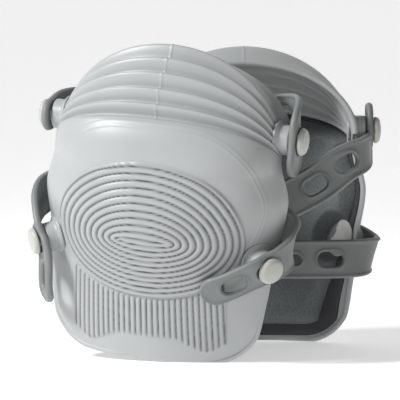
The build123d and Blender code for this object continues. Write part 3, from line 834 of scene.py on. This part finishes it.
def make_liner(pad):
    """Closed thin sheet against the inside of the shell, up to the end of the dome."""
    counts = dict(corner=18, lower=44, lift=6, fan=14, folds=2, band=1)
    sheets = []
    for inset in (WALL + 0.1, WALL + LINER):
        grid, _, fan_angle = shell_grid(121, inset, LINER_RECESS, trimmed=LINER_RECESS, **counts)
        sheets.append(grid[fan_angle <= DOME - 1.5])
    outer, inner = sheets
    rows, columns = outer.shape[:2]
    a = np.arange(rows * columns).reshape(rows, columns)
    b = a + rows * columns
    faces = [grid_faces(rows, columns), grid_faces(rows, columns, flip=True, start=rows * columns)]
    faces += [strip(a[0, ::-1], b[0, ::-1]), strip(a[-1], b[-1])]
    faces += [strip(a[:, 0], b[:, 0]), strip(a[::-1, -1], b[::-1, -1])]
    points = np.concatenate((outer.reshape(-1, 3), inner.reshape(-1, 3)))
    obj = closed_mesh(pad + "_liner_sheet", placed(pad, points * MM), np.concatenate(faces))
    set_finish(obj, "liner_rubber")
    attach(obj, pad + "_pad")
    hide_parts(pad + "_liner")
    return obj


liners = {pad: make_liner(pad) for pad in PADS}
print("liners", [len(obj.data.polygons) for obj in liners.values()])


# %% Cushions
CUSHION = 12.0
CUSHION_INSET = 5.4
CUSHION_RECESS = 9.0
CUSHION_TRIM = 12.0
EDGE_ROUND = 9.0
THINNEST = 0.35
WELL = (14.5, 19.5)
SWELL = 0.0008


def mesh_points(mesh):
    """All points of a mesh as an array."""
    flat = np.empty(len(mesh.vertices) * 3, np.float32)
    mesh.vertices.foreach_get("co", flat)
    return flat.reshape(-1, 3).astype(float)


def apply_modifiers(obj):
    """Bakes an object's modifiers into a fresh mesh."""
    graph = bpy.context.evaluated_depsgraph_get()
    fresh = bpy.data.meshes.new_from_object(obj.evaluated_get(graph))
    obj.modifiers.clear()
    old = obj.data
    obj.data = fresh
    bpy.data.meshes.remove(old)


def quarter(distance):
    """Share of the full thickness at a distance from an edge: a quarter circle, then 1."""
    return np.sqrt(1 - np.clip(1 - distance / EDGE_ROUND, 0, 1) ** 2)


def cushion_form(pad):
    """Closed padded form: its back follows the liner, its face is crowned and rounded at the edges."""
    counts = dict(corner=14, lower=62, lift=6, fan=16, folds=2, band=1)
    back, arc, fan_angle = shell_grid(
        111, CUSHION_INSET, CUSHION_RECESS, trimmed=CUSHION_TRIM, **counts
    )
    kept = fan_angle <= DOME - 2
    back, arc = back[kept], arc[kept]
    normal = grid_normals(back)
    rows, columns = arc.shape
    across = arc[:, :1] - np.abs(arc)
    steps = np.linalg.norm(np.diff(back[:, columns // 2], axis=0), axis=1)
    along = np.concatenate(((0.0,), np.cumsum(steps)))
    ends = np.minimum(along, along[-1] - along)[:, None]
    inside = quarter(across) * quarter(ends)
    for side in (1, -1):
        root, out, _ = stud_place("lower", side)
        from_axis = np.linalg.norm(np.cross(back - root, out), axis=-1)
        near = (back[..., 0] * side) > 0
        inside = inside * np.where(near, step(*WELL, from_axis), 1.0)
    thick = THINNEST + (CUSHION - THINNEST) * inside
    face = back - normal * thick[..., None]
    a = np.arange(rows * columns).reshape(rows, columns)
    b = a + rows * columns
    faces = [grid_faces(rows, columns), grid_faces(rows, columns, flip=True, start=rows * columns)]
    faces += [strip(a[0, ::-1], b[0, ::-1]), strip(a[-1], b[-1])]
    faces += [strip(a[:, 0], b[:, 0]), strip(a[::-1, -1], b[::-1, -1])]
    points = np.concatenate((back.reshape(-1, 3), face.reshape(-1, 3)))
    return closed_mesh(pad + "_foam_cushion", placed(pad, points * MM), np.concatenate(faces))


def make_cushion(pad):
    """Foam cushion: its form, swelled a little by cloth simulation and capped."""
    obj = cushion_form(pad)
    rest = mesh_points(obj.data)
    cloth = obj.modifiers.new("cloth", "CLOTH")
    cloth.settings.use_pressure = True
    cloth.settings.uniform_pressure_force = 3.0
    cloth.settings.effector_weights.gravity = 0
    cloth.settings.quality = 4
    cloth.collision_settings.use_collision = False
    for number in range(1, 16):
        bpy.context.scene.frame_set(number)
    apply_modifiers(obj)
    bpy.context.scene.frame_set(1)
    move = mesh_points(obj.data) - rest
    size = np.linalg.norm(move, axis=1, keepdims=True)
    capped = rest + move * np.minimum(1, SWELL / np.maximum(size, 1e-9))
    obj.data.vertices.foreach_set("co", capped.astype(np.float32).ravel())
    print(pad, "cushion swelled by up to mm", round(float(size.max()) * 1000, 2))
    obj.data.polygons.foreach_set("use_smooth", np.full(len(obj.data.polygons), True))
    obj.data.update()
    finer = obj.modifiers.new("finer", "SUBSURF")
    finer.levels = 1
    finer.render_levels = 1
    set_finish(obj, "cushion_fabric")
    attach(obj, pad + "_pad")
    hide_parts(pad + "_cushion")
    return obj


cushions = {pad: make_cushion(pad) for pad in PADS}
print("cushions", [len(obj.data.polygons) for obj in cushions.values()])

# %% [markdown]
# ## Finishes
# Moulded rubber and plastic share one group of nodes: a slow cloudy change of colour and a fine
# grain that tips the normal. It is reckoned from Object coordinates, so it stays on the piece.

# %% Shared surface group
def surface_group():
    """Cloudy colour and fine grain, as a node group."""
    group = bpy.data.node_groups.new("moulded_surface", "ShaderNodeTree")
    face = group.interface
    face.new_socket(name="Colour", in_out="INPUT", socket_type="NodeSocketColor")
    for name, value in (("Cloud scale", 30.0), ("Cloud", 0.1), ("Grain scale", 900.0), ("Grain", 0.1)):
        face.new_socket(name=name, in_out="INPUT", socket_type="NodeSocketFloat").default_value = value
    face.new_socket(name="Colour", in_out="OUTPUT", socket_type="NodeSocketColor")
    face.new_socket(name="Normal", in_out="OUTPUT", socket_type="NodeSocketVector")
    nodes, links = group.nodes, group.links
    entry = nodes.new("NodeGroupInput")
    leave = nodes.new("NodeGroupOutput")
    where = nodes.new("ShaderNodeTexCoord")
    cloud = nodes.new("ShaderNodeTexNoise")
    grain = nodes.new("ShaderNodeTexNoise")
    links.new(where.outputs["Object"], cloud.inputs["Vector"])
    links.new(where.outputs["Object"], grain.inputs["Vector"])
    links.new(entry.outputs["Cloud scale"], cloud.inputs["Scale"])
    links.new(entry.outputs["Grain scale"], grain.inputs["Scale"])
    centre = nodes.new("ShaderNodeMath")
    centre.operation = "SUBTRACT"
    centre.inputs[1].default_value = 0.5
    links.new(cloud.outputs["Fac"], centre.inputs[0])
    amount = nodes.new("ShaderNodeMath")
    amount.operation = "MULTIPLY_ADD"
    amount.inputs[2].default_value = 1.0
    links.new(centre.outputs[0], amount.inputs[0])
    links.new(entry.outputs["Cloud"], amount.inputs[1])
    tint = nodes.new("ShaderNodeVectorMath")
    tint.operation = "SCALE"
    links.new(entry.outputs["Colour"], tint.inputs[0])
    links.new(amount.outputs[0], tint.inputs["Scale"])
    links.new(tint.outputs[0], leave.inputs["Colour"])
    bump = nodes.new("ShaderNodeBump")
    bump.inputs["Distance"].default_value = 0.0004
    links.new(entry.outputs["Grain"], bump.inputs["Strength"])
    links.new(grain.outputs["Fac"], bump.inputs["Height"])
    links.new(bump.outputs["Normal"], leave.inputs["Normal"])
    return group


SURFACE = surface_group()


def finish(name, colour, rough, cloud=(30.0, 0.12), grain=(900.0, 0.15), groove_shade=0.0, specks=0.0):
    """Material with the shared surface, optional painted shade in the rib grooves and optional pale specks.
    """
    material = bpy.data.materials.new(name)
    material.use_nodes = True
    nodes, links = material.node_tree.nodes, material.node_tree.links
    shader = nodes["Principled BSDF"]
    shader.inputs["Roughness"].default_value = rough
    shader.inputs["Specular IOR Level"].default_value = 0.4
    surface = nodes.new("ShaderNodeGroup")
    surface.node_tree = SURFACE
    surface.inputs["Colour"].default_value = (*colour, 1.0)
    surface.inputs["Cloud scale"].default_value = cloud[0]
    surface.inputs["Cloud"].default_value = cloud[1]
    surface.inputs["Grain scale"].default_value = grain[0]
    surface.inputs["Grain"].default_value = grain[1]
    colour_out = surface.outputs["Colour"]
    # painted shade: the colour is darkened down in the rib grooves, by the amount stored on the skin's
    # points
    if groove_shade:
        value = nodes.new("ShaderNodeAttribute")
        value.attribute_name = "groove_shade"
        shade = nodes.new("ShaderNodeMath")
        shade.operation = "MULTIPLY_ADD"
        shade.inputs[1].default_value = -groove_shade
        shade.inputs[2].default_value = 1.0
        links.new(value.outputs["Fac"], shade.inputs[0])
        dark = nodes.new("ShaderNodeVectorMath")
        dark.operation = "SCALE"
        links.new(colour_out, dark.inputs[0])
        links.new(shade.outputs[0], dark.inputs["Scale"])
        colour_out = dark.outputs[0]
    if specks:
        where = nodes.new("ShaderNodeTexCoord")
        spots = nodes.new("ShaderNodeTexNoise")
        spots.inputs["Scale"].default_value = 900.0
        spots.inputs["Detail"].default_value = 3.0
        links.new(where.outputs["Object"], spots.inputs["Vector"])
        ramp = nodes.new("ShaderNodeMapRange")
        ramp.inputs["From Min"].default_value = 0.35
        ramp.inputs["From Max"].default_value = 0.65
        ramp.inputs["To Min"].default_value = 1.0 - specks
        ramp.inputs["To Max"].default_value = 1.0 + specks
        links.new(spots.outputs["Fac"], ramp.inputs["Value"])
        lit = nodes.new("ShaderNodeVectorMath")
        lit.operation = "SCALE"
        links.new(colour_out, lit.inputs[0])
        links.new(ramp.outputs[0], lit.inputs["Scale"])
        colour_out = lit.outputs[0]
    links.new(colour_out, shader.inputs["Base Color"])
    links.new(surface.outputs["Normal"], shader.inputs["Normal"])
    return material


FINISHES = {
    # painted shade: the shell's colour is darkened by up to 0.8 in its rib grooves
    "shell_rubber": finish("shell_rubber_light", (0.40, 0.412, 0.415), 0.38, groove_shade=0.8),
    "strap_rubber": finish("strap_rubber_grey", (0.20, 0.21, 0.21), 0.45, cloud=(40.0, 0.2)),
    "liner_rubber": finish("liner_rubber_dark", (0.055, 0.055, 0.06), 0.55),
    "cushion_fabric": finish(
        "cushion_fabric_grey", (0.135, 0.145, 0.148), 0.9, grain=(1200.0, 0.4), specks=0.2
    ),
    "stud_plastic": finish("stud_plastic_pale", (0.47, 0.47, 0.44), 0.4),
    "plate_plastic": finish("plate_plastic_pale", (0.42, 0.42, 0.41), 0.45),
}
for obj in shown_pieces():
    obj.data.materials.clear()
    obj.data.materials.append(FINISHES[obj["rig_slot"]])
print("finishes", len(FINISHES))

# %% [markdown]
# ## Floor, light and camera
# The pair stands on one white sheet that curves up behind it. A large soft light from the upper
# left and front does most of the work; a weaker one fills the right. The camera looks from a
# little above, with a long lens.

# %% Studio
def white_sheet():
    """Floor that curves up into a backdrop."""
    angle = np.linspace(0, math.pi / 2, 24)
    bend = [(2.0 + 1.5 * math.sin(a), 1.5 - 1.5 * math.cos(a)) for a in angle]
    line = np.array([(-4.0, 0.0)] + bend + [(3.5, 5.0)])
    wide = np.array((-5.0, 5.0))
    points = np.stack(np.broadcast_arrays(wide[None, :], line[:, :1], line[:, 1:]), -1)
    faces = grid_faces(len(line), 2, flip=True)
    obj = build_mesh("floor_sheet", points.reshape(-1, 3), faces, faces[:0, :3])
    material = bpy.data.materials.new("floor_white")
    material.use_nodes = True
    shader = material.node_tree.nodes["Principled BSDF"]
    shader.inputs["Base Color"].default_value = (0.93, 0.93, 0.93, 1)
    shader.inputs["Roughness"].default_value = 0.9
    shader.inputs["Emission Color"].default_value = (1, 1, 1, 1)
    shader.inputs["Emission Strength"].default_value = 0.45
    obj.data.materials.append(material)
    return obj


def soft_light(name, place, target, size, power):
    """Square soft light that faces a point."""
    light = bpy.data.lights.new(name, "AREA")
    light.size = size
    light.energy = power
    obj = bpy.data.objects.new(name, light)
    obj.location = place
    obj.rotation_euler = (Vector(target) - Vector(place)).to_track_quat("-Z", "Y").to_euler()
    bpy.context.scene.collection.objects.link(obj)
    return obj


white_sheet()
soft_light("key_light", (-1.30, -0.62, 1.20), (0, 0, 0.1), 0.36, 34.0)
soft_light("fill_light", (0.2, -2.2, 0.5), (0, 0, 0.1), 1.0, 3.0)
world = bpy.data.worlds.new("studio")
world.use_nodes = True
world.node_tree.nodes["Background"].inputs["Color"].default_value = (1, 1, 1, 1)
world.node_tree.nodes["Background"].inputs["Strength"].default_value = 0.16
scene = bpy.context.scene
scene.world = world
scene.view_settings.view_transform = "Standard"
camera = bpy.data.objects.new("camera", bpy.data.cameras.new("camera"))
camera.location = (-0.0043, -2.792, 0.324)
aim = Vector((-0.0043, 0.0, 0.1140)) - camera.location
camera.rotation_euler = aim.to_track_quat("-Z", "Y").to_euler()
camera.data.lens = 340.0
camera.data.sensor_width = 36.0
camera.data.clip_end = 50.0
scene.collection.objects.link(camera)
scene.camera = camera
